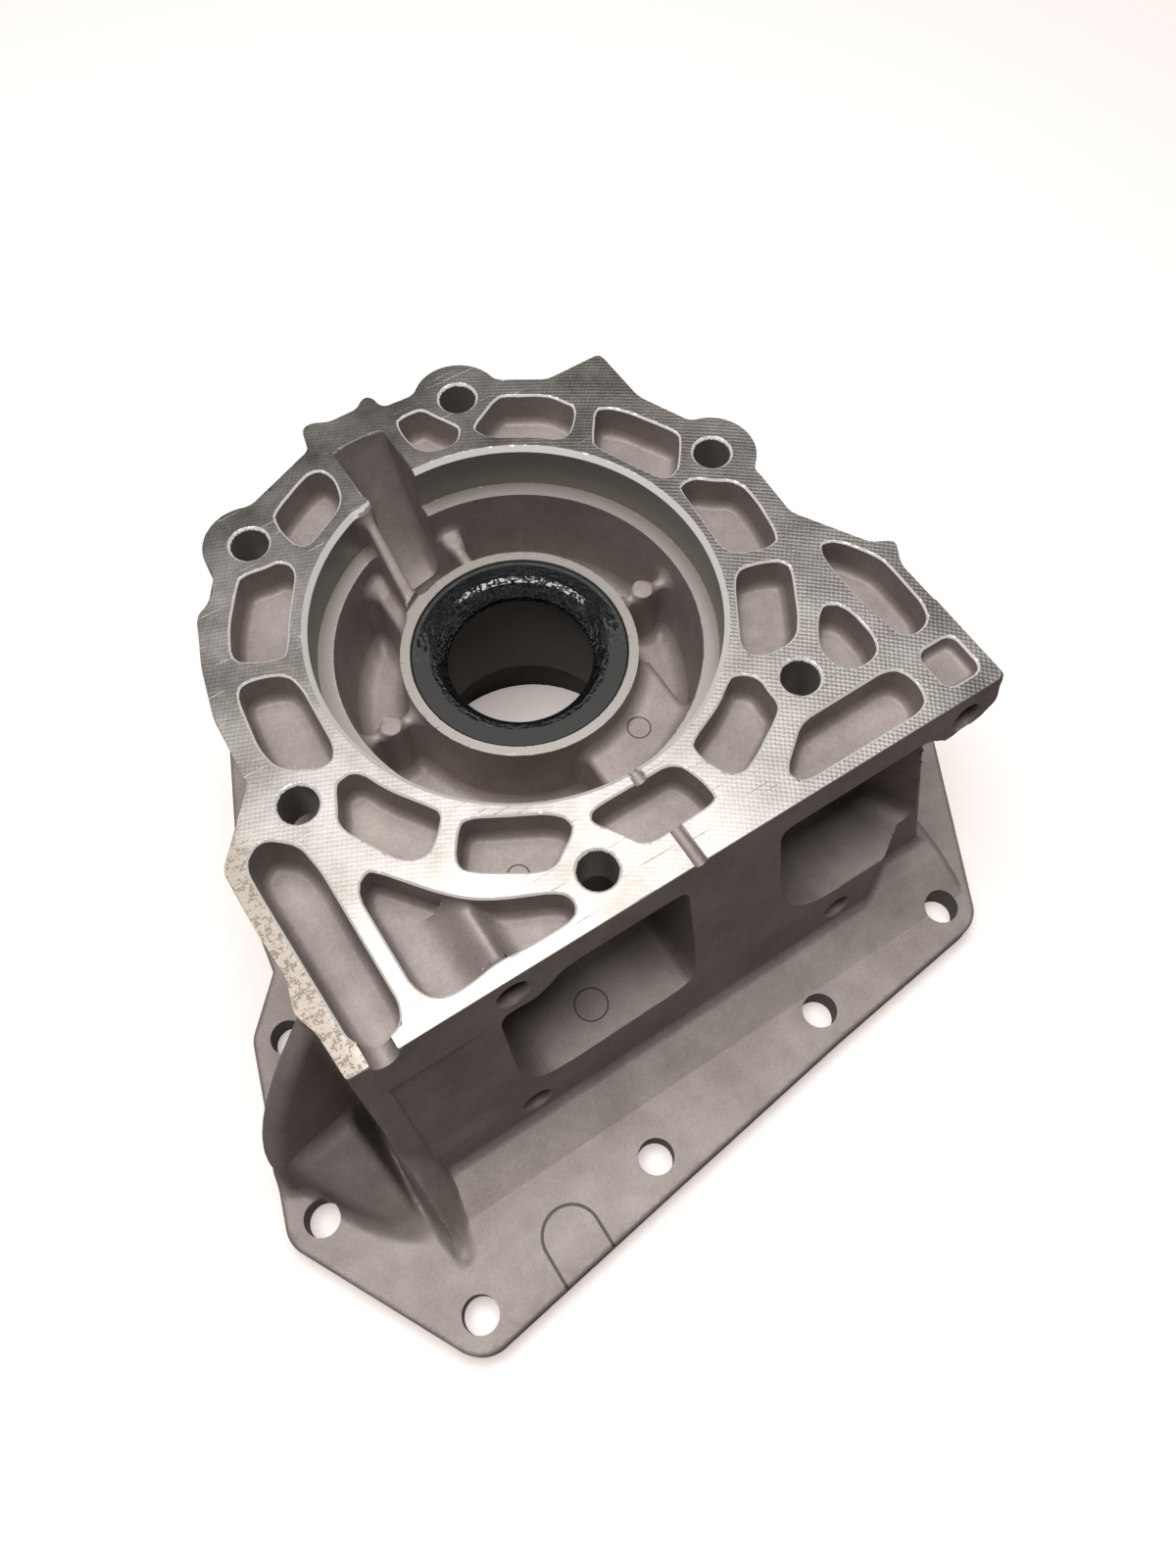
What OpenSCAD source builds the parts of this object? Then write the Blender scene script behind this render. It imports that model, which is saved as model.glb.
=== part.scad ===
// Transmission extension housing: one aluminium die casting with a pressed output-shaft lip seal.
// Millimetres, +Z up along the shaft bore. The origin is on the bore axis at the bell flange face.
// +X runs along the straight front edge of the machined deck, and the mount pad faces -Y.

/* [Overall] */
// Height from the bell flange face to the machined deck
height = 104; // [100:1:112]
// Thickness of the bell flange
flange_t = 10; // [8:0.5:12]
// Thickness of the deck plate
deck_t = 18; // [17:0.5:21]
// Wall of the bell and of the bowl
wall = 6; // [5:0.5:7]

/* [Bell flange] */
// Distance of the outermost left hole from the bore axis
bell_left = 131; // [126:1:138]
// Distance of the outermost right hole from the bore axis
bell_right = 117; // [113:1:124]
// Distance of the foremost hole from the bore axis
bell_front = 143; // [140:1:150]
// Distance of the rearmost hole from the bore axis
bell_back = 102; // [99:1:110]
// Distance from a hole's centre to the edge of the flange
bell_edge = 11; // [10:0.5:13]

/* [Register and bowl] */
// Diameter of the register mouth in the deck
register_d = 120; // [118:0.5:122]
// Width of the lead-in chamfer at the mouth
lead_in = 1.5; // [0.5:0.25:2]
// Depth of the register down to its ledge
register_depth = 15.6; // [14:0.2:17]
// Inside diameter of the ledge
ledge_d = 107.6; // [104:0.4:110]
// Depth of the bowl floor below the deck
bowl_depth = 46; // [42:1:50]

/* [Hub] */
// Depth of the hub ring below the deck
hub_depth = 19.8; // [17:0.2:22]
// Outside diameter of the hub ring
hub_d = 70.4; // [69.6:0.2:73]
// Seat diameter of the shaft seal
seal_d = 64.6; // [63:0.2:66]
// Height of the shaft seal
seal_h = 10; // [9:0.5:11]
// Diameter of the shaft opening in the seal lip
lip_d = 43.6; // [42:0.2:45]
// Diameter of the throat behind the seal
throat_d = 60; // [57:0.5:61]
// Diameter of the pilot bore at the bell flange face
pilot_d = 75; // [72:0.5:77]
// Depth of the pilot bore
pilot_depth = 26; // [22:1:30]

/* [Bolting] */
// Radius of the six deck holes' circle
deck_bolt_r = 81; // [80.5:0.1:81.5]
// Diameter of the deck holes
deck_hole_d = 11; // [10:0.25:12]
// Diameter of the bell flange holes
flange_hole_d = 11; // [10:0.25:12]
// Thread core diameter of the holes in the mount pad
pad_hole_d = 8.8; // [8:0.2:9.4]
// Depth of the holes in the mount pad
pad_hole_depth = 11; // [8:1:12]
// Chamfer at the drilled holes
hole_chamfer = 0.6; // [0.4:0.1:1]

/* [Casting] */
// Depth of the lightening pockets in the deck
pocket_depth = 11; // [9:0.5:12]
// Corner radius of the pockets
pocket_r = 2.5; // [1.5:0.25:3]
// Inclination of the mount pad to the bore, degrees
pad_tilt = 9; // [8:0.2:10]
// Depth of the cast panel in the mount pad
panel_depth = 0.8; // [0.4:0.1:1.2]
// Thickness of the web at the left
web_t = 6; // [5:0.5:8]
// Radius of the drain grooves in the deck
groove_r = 2; // [1.5:0.25:2.5]

/* [Hidden] */
eps = 0.01;
$fn = 32;

deck_z = height;
hub_z = height - hub_depth;
ledge_z = height - register_depth;
bowl_z = height - bowl_depth;
under_z = height - deck_t;
register_r = register_d / 2 - lead_in;
bowl_wall_r = register_d / 2 + 4;
seal_z = hub_z - 0.5;
seal_seat_z = seal_z - seal_h;
sleeve_r = pilot_d / 2 + wall;
front_y = -90;
pad_ledge_z = 14.5;
recess_z = 35;
shoulder_z = 35;
pocket_z = deck_z - pocket_depth;
boss_r = 13.5;
barrel_r = 68;

// Angles of the deck holes round the bore, counter-clockwise from +X
deck_hole_angles = [12, 71.5, 130.4, 194.3, 253.4, 312];

// Places of the bell flange holes
flange_holes = [
  [-115, -41], [-bell_left, -95], [-105, -bell_front], [-38, -134], [31, -125], [86, -119],
  [114, -66], [bell_right, -6], [98, 52], [50, 92], [-12, bell_back], [-70, 72], [-94, 14]
];

// Inner corner of the flange outline between its last hole and its first
flange_waist = [-99, -24];

// Holes with a spot of clear room for the bolt head cut into the bell wall
spotted = [0, 6, 7, 8, 9, 10, 11, 12];

// Outline of the deck without its three outer bosses
deck_pts = [
  [-101.5, -90], [101.5, -90], [101, -46], [105, -38.5], [98.5, -35], [85.7, -14],
  [86.5, 3], [80.5, 31], [73, 47], [72.5, 68.3], [53, 68.3], [40, 76.5], [15, 85.2],
  [4.5, 86], [3.5, 92], [0.5, 92.5], [-2, 89.8], [-12, 89.8], [-17, 92.5], [-20.5, 91.5],
  [-22, 83.5], [-46, 74], [-66, 57], [-71, 49.5], [-76, 47], [-82, 31], [-86, 15],
  [-87, -8], [-103, -26.5], [-103, -45], [-102, -60], [-104.5, -69], [-101.5, -76]
];

// Mouths of the lightening pockets of full depth
pockets = [
  [[-69, -19], [-59.5, -19], [-56, -31], [-48, -41.5], [-56, -51], [-63, -51], [-73.5, -30]],
  [[-77.3, -45.5], [-70, -45.5], [-56, -66], [-32, -76.5], [-32.5, -85.3], [-77.3, -85.5]],
  [[-53, -57], [-45, -46.5], [-38, -50.5], [-21, -59.5], [-22.5, -66], [-33, -72.5], [-52.5, -59.5]],
  [[-18, -62.3], [11.5, -62.5], [14.5, -78.6], [-10.5, -78.6], [-12.5, -72], [-18, -66.5]],
  [[16, -61], [31, -55], [41, -48.5], [45.5, -53], [44, -60], [44.5, -65.5], [21, -76.5]],
  [[60, -21.8], [74.5, -25.5], [74, -32], [61.5, -50], [46, -49.3], [45, -45.5]],
  [[63, 12], [70, 12], [80, 4.5], [79, -13], [76, -21], [61, -16.5]],
  [[53, 43], [58, 50], [63, 50], [75, 29], [75, 26], [67, 15.5], [60, 15.5], [50.5, 38]],
  [[23.5, 63], [32, 68], [37, 71], [51, 62.5], [54.5, 53.5], [45, 44], [36, 53], [24, 59]],
  [[4.5, 79.5], [15, 79.5], [20, 67.5], [19, 61], [5, 63]],
  [[-42.5, 67.5], [-25, 76.3], [-21, 74.5], [-21.3, 60], [-40.5, 50.5], [-42.8, 55]],
  [[-61.5, 53], [-45, 51.8], [-44.5, 45.5], [-55, 31], [-61, 21], [-74.5, 27]],
  [[-79.5, 21.2], [-75, 21.2], [-61.3, 16.5], [-62.5, -15], [-68, -15], [-80.2, -7.5], [-79.5, 8]],
  [[73, -44.5], [79, -44.5], [79.3, -66.7], [63.5, -66.7], [63.5, -56]],
  [[84, -27.5], [91, -27.5], [98, -41], [97.3, -66.6], [84, -66.6]],
  [[45, -71.2], [79.5, -71.2], [79.5, -86.2], [33.5, -86.2], [33.5, -80]]
];

// Pocket beside the left edge of the deck, and the small one at the right corner
long_pocket = [[-94, -23.5], [-88.5, -23.5], [-82.2, -32.5], [-82, -86], [-96.3, -86], [-98, -31]];
corner_pocket = [[85.3, -71.5], [97.8, -71.5], [97.8, -85.3], [85.3, -85.3]];

// Oil channel from the deck into the bowl
channel_x0 = -16.8;
channel_x1 = 0.5;
channel_y1 = 79.8;
channel_z = hub_z - 8;

// Outline with its outer corners rounded by r and its inner ones by s
module rounded(r, s) {
  offset(r = -s) offset(r = s + r) offset(delta = -r) children();
}

module deck_outline() {
  rounded(1.5, 2) union() {
    polygon(deck_pts);
    for (i = [0:2])
      rotate(deck_hole_angles[i]) translate([deck_bolt_r, 0]) circle(r = boss_r);
  }
}

// The flange runs round its holes at one distance from them
module flange_outline() {
  offset(r = -8) offset(r = bell_edge + 8) polygon([for (p = flange_holes) p, flange_waist]);
}

// Solid from x0 to x1 with its outline given in Y and Z
module bar_x(x0, x1) {
  translate([x0, 0, 0]) rotate([90, 0, 90]) linear_extrude(x1 - x0) children();
}

// Solid from y0 to y1 with its outline given in X and Z
module bar_y(y0, y1) {
  translate([0, y1, 0]) rotate([90, 0, 0]) linear_extrude(y1 - y0) children();
}

// Front plane of the mount pad at a given height
function pad_y(z) = front_y - tan(pad_tilt) * (height - z);

// Bell wall that flares from the barrel to the flange, drawn in by t
module bell(t) {
  hull() {
    translate([0, 0, under_z - 32]) cylinder(r = barrel_r - t, h = 2, $fn = 32);
    translate([0, 0, flange_t - 2]) linear_extrude(1) offset(delta = -t) polygon([
      [-100, -86], [72, -86], [94, -88], [98, -50], [100, -8], [82, 42], [45, 76],
      [-12, 86], [-58, 60], [-76, 20], [-98, -30]
    ]);
  }
}

// Block behind the inclined front face, with the thick right end of the deck's front edge
module pad_block() {
  intersection() {
    bar_x(-101.5, 101.5) polygon([
      [front_y, deck_z], [pad_y(pad_ledge_z), pad_ledge_z], [pad_y(pad_ledge_z), 5], [-60, 5],
      [-60, deck_z]
    ]);
    bar_y(-120, -50) polygon([
      [-101.5, 5], [-101.5, deck_z], [101.5, deck_z], [101.5, deck_z - 11.5], [96.5, deck_z - 15.3],
      [84, deck_z - 16.8], [76, deck_z - 12.7], [80.5, 58], [83, 38], [86, 5]
    ]);
  }
}

// Cast ramp between the lower edge of the mount pad and the flange
module ramp() {
  bar_x(-97, 72) polygon([
    [pad_y(pad_ledge_z) + 6, pad_ledge_z], [pad_y(pad_ledge_z) - 0.3, pad_ledge_z],
    [-121, flange_t], [-121, 5], [pad_y(pad_ledge_z) + 6, 5]
  ]);
}

// Wall at the left whose curved edge sweeps from the deck down to the rim of the flange
module left_web() {
  reach = bell_left - 98;
  foot = flange_t - 1;
  top = deck_z - 2 - foot;
  translate([-104, -68, 0]) rotate([0, 0, 190]) translate([0, web_t, 0]) rotate([90, 0, 0])
    linear_extrude(web_t) polygon([
      for (t = [0:0.1:1]) [reach * (1 - t * t), foot + t * top],
      [-9, foot + top], [-9, 5], [reach, 5]
    ]);
}

// Sloped foot between the web and the fin
module left_shoulder() {
  hull() {
    translate([-bell_left + 1, -83.5, shoulder_z - 1]) cube([bell_left - 102, 11, 1]);
    translate([0, 0, flange_t - 1]) linear_extrude(1)
      polygon([[-133, -82], [-130.5, -87], [-125, -91], [-107, -111], [-100, -114], [-100, -72], [-133, -75.5]]);
  }
}

// Sloped foot at the right end of the mount pad
module right_shoulder() {
  hull() {
    translate([69.5, pad_y(38), 37]) cube([14, 10, 1]);
    translate([0, 0, flange_t - 1]) linear_extrude(1)
      polygon([[68, -120], [76, -117], [82, -112], [93, -111], [98.9, -107], [98.9, -88], [60, -88]]);
  }
}

// Fin at the left end of the mount pad, whose straight edge runs out to a point on the flange
module fin() {
  hull() {
    bar_x(-101.3, -95.6) polygon([
      [front_y, deck_z - 1], [front_y + 8, deck_z - 1], [-100, flange_t - 1], [-114, 44]
    ]);
    bar_x(-100.8, -99.6) polygon([[-128, flange_t], [-128, flange_t - 1], [-120, flange_t - 1]]);
  }
}

// Wall that closes the right recess and stands behind the right end of the mount pad
module right_wall() {
  hull() {
    translate([76, -88, under_z]) cube([11, 30, 1]);
    translate([82, -97, flange_t - 1]) cube([14, 42, 1]);
  }
}

// Left and right access recesses: rims in the front face, then the room behind them
module left_recess() {
  intersection() {
    bar_x(-63, 0) recess_section(-66);
    bar_y(-115, -50) offset(r = 3) offset(delta = -3) polygon([
      [-62.6, 87], [-62.6, 50], [-57, 37], [-50, recess_z], [-5, recess_z], [-2, 43], [-4, deck_z - 10],
      [-42, deck_z - 10], [-50, 85.8], [-57, 85.8]
    ]);
  }
}

module right_recess() {
  intersection() {
    bar_x(25, 81) recess_section(-50);
    bar_y(-115, -40) offset(r = 3) offset(delta = -3) polygon([
      [25.5, deck_z - 10], [28, 60], [34, 43], [45, recess_z], [66, recess_z], [69.5, 39], [71, 53],
      [76, 58], [80.4, 58.5], [76, deck_z - 10]
    ]);
  }
  bar_x(40, 80) polygon([
    [pad_y(recess_z) + 6, recess_z], [-50, recess_z], [-50, under_z], [pad_y(under_z) + 6, under_z]
  ]);
}

// Section of a recess in Y and Z, back to y1
module recess_section(y1) {
  polygon([
    [-115, recess_z], [y1, recess_z], [y1, under_z], [front_y + 4, under_z],
    [front_y - 1, deck_z - 10], [-115, deck_z - 10]
  ]);
}

// Shallow cast panel in the front face, beside the fin
module pad_panel() {
  low = 26;
  high = deck_z - 18;
  bar_x(-94.5, -66) polygon([
    [pad_y(low) - 2, low], [pad_y(low) + panel_depth, low], [pad_y(high) + panel_depth, high],
    [pad_y(high) - 2, high]
  ]);
}

// Engraved outline of an arch on the flange
module arch(r) {
  translate([-71.5, -139.2]) circle(r = r);
  translate([-71.5 - r, -165]) square([2 * r, 25.8]);
}

module bell_cavity() {
  difference() {
    translate([0, 0, -flange_t]) bell(wall);
    translate([0, 0, bowl_z - wall]) cylinder(r = bowl_wall_r, h = height);
    cylinder(r1 = sleeve_r, r2 = hub_d / 2 + 1, h = bowl_z);
    for (a = [20:60:340]) rotate(a) translate([0, -2.5, 12]) cube([130, 5, height]);
  }
}

module bowl_cut() {
  difference() {
    union() {
      translate([0, 0, deck_z - lead_in])
        cylinder(r1 = register_r, r2 = register_r + lead_in + eps, h = lead_in + eps, $fn = 96);
      translate([0, 0, ledge_z]) cylinder(r = register_r, h = register_depth, $fn = 96);
      translate([0, 0, bowl_z])
        cylinder(r1 = ledge_d / 2 - 3, r2 = ledge_d / 2, h = bowl_depth - register_depth + eps, $fn = 96);
      translate([channel_x0, 25, channel_z])
        cube([channel_x1 - channel_x0, channel_y1 - 25, height]);
    }
    hub_solid();
    bowl_ribs();
  }
}

module hub_solid() {
  translate([0, 0, bowl_z - 1])
    cylinder(r1 = hub_d / 2 + 2, r2 = hub_d / 2, h = hub_z - bowl_z + 1, $fn = 96);
}

module bowl_ribs() {
  rib_top = hub_z - 3;
  rib_t = 3.4;
  for (s = [-1, 1]) {
    translate([s * 43 - 12, -rib_t / 2, bowl_z - 1]) cube([24, rib_t, rib_top - bowl_z + 1]);
    translate([s * 43.8, 0, bowl_z - 1]) cylinder(r = rib_t, h = rib_top - bowl_z + 1.6);
  }
  translate([5 - rib_t / 2, 28, bowl_z - 1]) cube([rib_t, 30, hub_z - bowl_z - 6]);
  translate([5, 46, bowl_z - 1]) cylinder(r = rib_t, h = hub_z - bowl_z - 6);
  bar_x(channel_x0 - 2.6, channel_x0) polygon([
    [26, bowl_z - 1], [26, hub_z], [57, ledge_z], [57, bowl_z - 1]
  ]);
  translate([-24, 26, bowl_z - 1]) cube([rib_t, 26, hub_z - bowl_z - 4]);
  bar_x(0, 33) polygon([
    [-60, bowl_z - 1], [-60, hub_z - 9], [-20, hub_z - 9], [-20, bowl_z - 1]
  ]);
}

module bores() {
  translate([0, 0, seal_seat_z]) cylinder(d = seal_d, h = height, $fn = 96);
  translate([0, 0, pilot_depth - eps]) cylinder(d = throat_d, h = height, $fn = 96);
  translate([0, 0, -1]) cylinder(d = pilot_d, h = pilot_depth + 1, $fn = 96);
}

module deck_bolt_holes() {
  for (a = deck_hole_angles) rotate(a) translate([deck_bolt_r, 0, 0]) {
    translate([0, 0, under_z - 26]) cylinder(d = deck_hole_d, h = deck_t + 27);
    translate([0, 0, under_z - 26]) cylinder(d = 20, h = 26);
    translate([0, 0, deck_z - hole_chamfer])
      cylinder(d1 = deck_hole_d, d2 = deck_hole_d + 2 * (hole_chamfer + eps), h = hole_chamfer + eps);
  }
}

module flange_bolt_holes() {
  for (p = flange_holes) translate([p[0], p[1], -1]) cylinder(d = flange_hole_d, h = flange_t + 2);
  for (i = spotted) translate([flange_holes[i][0], flange_holes[i][1], flange_t]) cylinder(d = 21, h = 26);
}

// Holes in the mount pad, square to its inclined face
module pad_holes() {
  for (p = [[-57, 95.5], [90, 93.7], [-60, 23], [52, 23]])
    translate([p[0], pad_y(p[1]), p[1]]) rotate([90 - pad_tilt, 0, 0])
      translate([0, 0, -pad_hole_depth]) cylinder(d = pad_hole_d, h = pad_hole_depth + 2);
}

// Cut from an outline in the deck down to z
module pocket(pts, z) {
  translate([0, 0, z]) linear_extrude(deck_z - z + 1)
    offset(r = pocket_r, $fn = 20) offset(delta = -pocket_r) polygon(pts);
}

module deck_pockets() {
  difference() {
    for (p = pockets) pocket(p, pocket_z);
    bar_y(-88, -60) polygon([[-66, pocket_z], [-57, deck_z - 5], [-55, deck_z - 5], [-46, pocket_z]]);
  }
  pocket(long_pocket, pocket_z - 4);
  pocket(corner_pocket, deck_z - 5);
}

// Round marks of the ejector pins: x, y, z
module ejector_marks() {
  for (p = [[-39, -64, pocket_z], [-33, -90, recess_z], [18, -37, hub_z - 9]])
    translate([p[0], p[1], p[2] - 0.4]) cylinder(r = 3.2, h = 1);
}

module deck_grooves() {
  for (y = [-91, -63]) translate([0, y, deck_z]) rotate([-90, 0, 0]) cylinder(r = groove_r, h = 13);
  translate([-91.5, -91, deck_z - 1]) rotate([-90, 0, 0]) cylinder(r = 2 * groove_r, h = 7);
}

module housing() color([0.55, 0.54, 0.53]) difference() {
  union() {
    linear_extrude(flange_t) flange_outline();
    translate([0, 0, under_z]) linear_extrude(deck_t) deck_outline();
    difference() {
      union() {
        bell(0);
        cylinder(r = sleeve_r, h = 12);
        translate([0, 0, under_z - 31]) cylinder(r = barrel_r, h = 33, $fn = 96);
        translate([-22, 40, under_z - 20]) cube([27, 45.5, 22]);
        pad_block();
        left_web();
        right_wall();
      }
      deck_bolt_access();
    }
    left_shoulder();
    right_shoulder();
    fin();
    ramp();
  }
  bell_cavity();
  bowl_cut();
  bores();
  left_recess();
  right_recess();
  pad_panel();
  translate([0, 0, flange_t - 0.5]) linear_extrude(1) difference() {
    arch(9.2);
    arch(8.4);
  }
  deck_bolt_holes();
  flange_bolt_holes();
  pad_holes();
  deck_pockets();
  deck_grooves();
  ejector_marks();
}

// Room for the bolt heads under the four holes outside the recesses
module deck_bolt_access() {
  for (i = [0:3]) rotate(deck_hole_angles[i])
    translate([deck_bolt_r, 0, under_z - 26]) cylinder(d = 20, h = 26);
}

// Rubber-covered steel shell of the shaft seal
module seal_case() color([0.16, 0.16, 0.17]) rotate_extrude($fn = 96) polygon([
  [seal_d / 2, seal_z - 0.6], [seal_d / 2 - 0.6, seal_z], [seal_d / 2 - 5.8, seal_z],
  [seal_d / 2 - 5.8, seal_z - 1.4], [seal_d / 2 - 1.6, seal_z - 1.4],
  [seal_d / 2 - 1.6, seal_seat_z], [seal_d / 2, seal_seat_z]
]);

// Moulded lip bonded to the shell
module seal_lip() color([0.05, 0.05, 0.06]) rotate_extrude($fn = 96) difference() {
  polygon([
    [seal_d / 2 - 5.8, seal_z], [seal_d / 2 - 7.6, seal_z - 0.7], [lip_d / 2 + 0.7, seal_z - 3.2],
    [lip_d / 2, seal_z - 4.2], [lip_d / 2 + 0.9, seal_z - 5], [lip_d / 2 + 0.1, seal_z - 6.6],
    [lip_d / 2 + 1.4, seal_z - 8], [lip_d / 2 + 3.2, seal_z - 8.4], [lip_d / 2 + 3.4, seal_z - 6],
    [lip_d / 2 + 2.9, seal_z - 3.6], [seal_d / 2 - 5.8, seal_z - 2.2]
  ]);
  translate([lip_d / 2 + 3.4, seal_z - 6.9]) circle(r = 0.8, $fn = 24);
}

// Coil spring that holds the lip to the shaft, drawn as its ring
module garter_spring() color([0.5, 0.5, 0.5]) rotate_extrude($fn = 96)
  translate([lip_d / 2 + 3.4, seal_z - 6.9]) circle(r = 0.8, $fn = 24);

housing();
seal_case();
seal_lip();
garter_spring();
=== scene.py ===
import itertools
import math

import bpy
import numpy as np
from mathutils import Matrix


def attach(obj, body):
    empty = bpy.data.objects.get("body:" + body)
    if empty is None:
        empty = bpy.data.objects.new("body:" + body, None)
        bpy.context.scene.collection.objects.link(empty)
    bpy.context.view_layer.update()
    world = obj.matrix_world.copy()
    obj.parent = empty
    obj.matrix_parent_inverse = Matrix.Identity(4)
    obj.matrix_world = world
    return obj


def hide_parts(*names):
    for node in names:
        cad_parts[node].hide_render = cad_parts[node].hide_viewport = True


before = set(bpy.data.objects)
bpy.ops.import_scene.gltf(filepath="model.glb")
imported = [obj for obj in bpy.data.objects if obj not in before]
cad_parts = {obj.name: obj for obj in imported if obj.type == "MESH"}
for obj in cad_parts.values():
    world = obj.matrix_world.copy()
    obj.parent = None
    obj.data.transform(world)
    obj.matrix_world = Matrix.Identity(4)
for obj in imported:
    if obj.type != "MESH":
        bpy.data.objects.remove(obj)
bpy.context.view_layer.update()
scene = bpy.context.scene

# Housing: one aluminium die casting, shot-blasted, with its deck, bores, pad and flange machined.
# It is modelled as one solid field in millimetres, so that every cast corner gets its fillet,
# and then turned into a mesh that keeps the machined edges sharp. All sizes are in millimetres.
deck_z = 104.0                          # milled deck above the flange face
flange_z = 10.0                         # thickness of the flange
register_r, register_z = 58.5, 88.4     # turned bore in the deck, and its ledge
hub_r, hub_z = 35.2, 84.2               # turned top of the hub
bowl_r, bowl_z = 50.8, 58.0             # cast bowl round the hub, at its floor
seal_r, seal_z = 32.3, 73.7             # seal bore and its floor
bore_r = 30.0                           # through bore
barrel_r = 68.0                         # outside of the barrel under the deck
pilot_r, pilot_z = 37.5, 26.0           # pilot bore in the flange face, and its end
hole_r = 5.5                            # bolt holes of the deck and the flange
chamfer = 1.5                           # broken edge of the register bore
lean = math.radians(9)                  # lean of the mount pad
pocket_z, long_z, corner_z = 93.0, 89.0, 99.5   # floors of the deck's cast pockets
bolt_circle_r = 81
deck_holes = [(bolt_circle_r * math.cos(a), bolt_circle_r * math.sin(a))
              for a in np.radians([12, 71.5, 130.4, 194.3, 253.4, 312]).tolist()]
pad_holes = [(-57, 95.5), (90, 93.7), (-60, 23), (52, 23)]      # x and height of the tapped holes
flange_holes = [
    (-115, -41), (-131, -95), (-105, -143), (-38, -134), (31, -125), (86, -119), (114, -66),
    (117, -6), (98, 52), (50, 92), (-12, 102), (-70, 72), (-94, 14)]
pockets = [
    [(-66, -19.5), (-61, -19.5), (-57, -29), (-49.5, -40), (-48.7, -42), (-50, -44.5), (-55, -49.5),
     (-58, -50.7), (-63, -49), (-66, -44), (-72.8, -31), (-70, -26), (-68, -21)],
    [(-77.3, -50), (-73, -46), (-70.5, -47.5), (-61, -60), (-55, -66.5), (-48, -71), (-35, -77),
     (-32.8, -80), (-33, -83), (-35.5, -85.3), (-50, -85.2), (-57, -84.2), (-64, -85.5),
     (-73, -85.5), (-77.3, -80)],
    [(-52.9, -57), (-47, -48.5), (-44, -47), (-38, -50.5), (-24, -58.3), (-21.5, -62.5),
     (-23, -65.5), (-28, -68.5), (-31.5, -71), (-36, -70), (-50, -61)],
    [(-16.5, -64), (-14.5, -62.7), (10, -62.7), (12.8, -68), (14, -76), (13, -78), (-9, -78.7),
     (-12, -73.5), (-14, -70), (-17, -66)],
    [(17, -62.5), (18.5, -60.3), (31, -55), (37, -50.5), (40, -49.8), (44.7, -54), (44, -59),
     (44.3, -63.5), (42, -66), (29, -73.5), (22.5, -75.7), (18.5, -70)],
    [(60, -22.8), (63, -22.3), (71, -25), (73.5, -27.5), (73.8, -30), (65, -45), (60, -50),
     (49, -49.3), (45.8, -44.5), (57, -26)],
    [(64.5, 11.5), (67, 12), (70, 11.2), (73, 8), (79.5, 4), (79.8, -5), (77.5, -18), (75, -20.5),
     (69, -19.5), (61.5, -15.5), (62.5, -3), (63.5, 10.5)],
    [(56.5, 46.5), (58.5, 49), (61, 49.7), (66, 45), (73, 32.5), (74.8, 28.5), (74, 26),
     (68.5, 19), (66.5, 17), (62, 15.7), (59, 21), (51, 38), (52.5, 41)],
    [(24.5, 64.5), (30, 67.3), (36, 70.5), (39, 69.5), (50, 62.5), (53, 56.5), (54.2, 54.5),
     (51, 49.5), (45, 44.8), (38, 51), (26.5, 58), (24, 62.5)],
    [(5, 78), (7, 79.3), (12, 79.3), (14.5, 78.5), (15.8, 75), (19.7, 68), (20, 65.5), (16, 61.3),
     (6.5, 63.5), (4.5, 70)],
    [(-42.5, 65.5), (-41, 68), (-30, 74), (-25, 75.8), (-21.3, 73), (-21.2, 66), (-24, 59.5),
     (-34.5, 54), (-40, 51.5), (-42.5, 58)],
    [(-61.5, 51), (-59, 53), (-52, 51.5), (-48, 51.8), (-45, 47), (-55, 32), (-60, 23),
     (-62.5, 22), (-70, 25.5), (-74, 29), (-69.5, 39.5)],
    [(-77.5, 18.5), (-74, 20.8), (-64, 17.5), (-61.8, 12), (-62.8, -11), (-67, -14.7),
     (-78, -8.5), (-79.8, 0)],
    [(72, -46), (75, -44.8), (79, -49), (79.3, -62), (75.5, -66.7), (66, -65.8), (63.7, -57),
     (68, -50)],
    [(85, -28.5), (88, -27.8), (92, -31), (97.3, -40.5), (97.8, -45), (97.5, -61), (94, -66.3),
     (86, -65.8), (83.8, -50), (83.8, -35)],
    [(34, -81), (34.5, -84), (37, -86.2), (76, -86.2), (79.5, -82.5), (79.5, -75), (76, -71.2),
     (46, -71.5), (41, -75.5)]]
long_pocket = [
    (-91, -24), (-95.5, -26), (-97.7, -29.5), (-97.7, -38), (-96.5, -82), (-93, -86), (-85, -86),
    (-82.2, -81), (-82.2, -40), (-83.5, -31), (-86.5, -27.5)]
corner_pocket = [(85.3, -71.5), (97.8, -71.5), (97.8, -85.3), (85.3, -85.3)]


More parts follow.
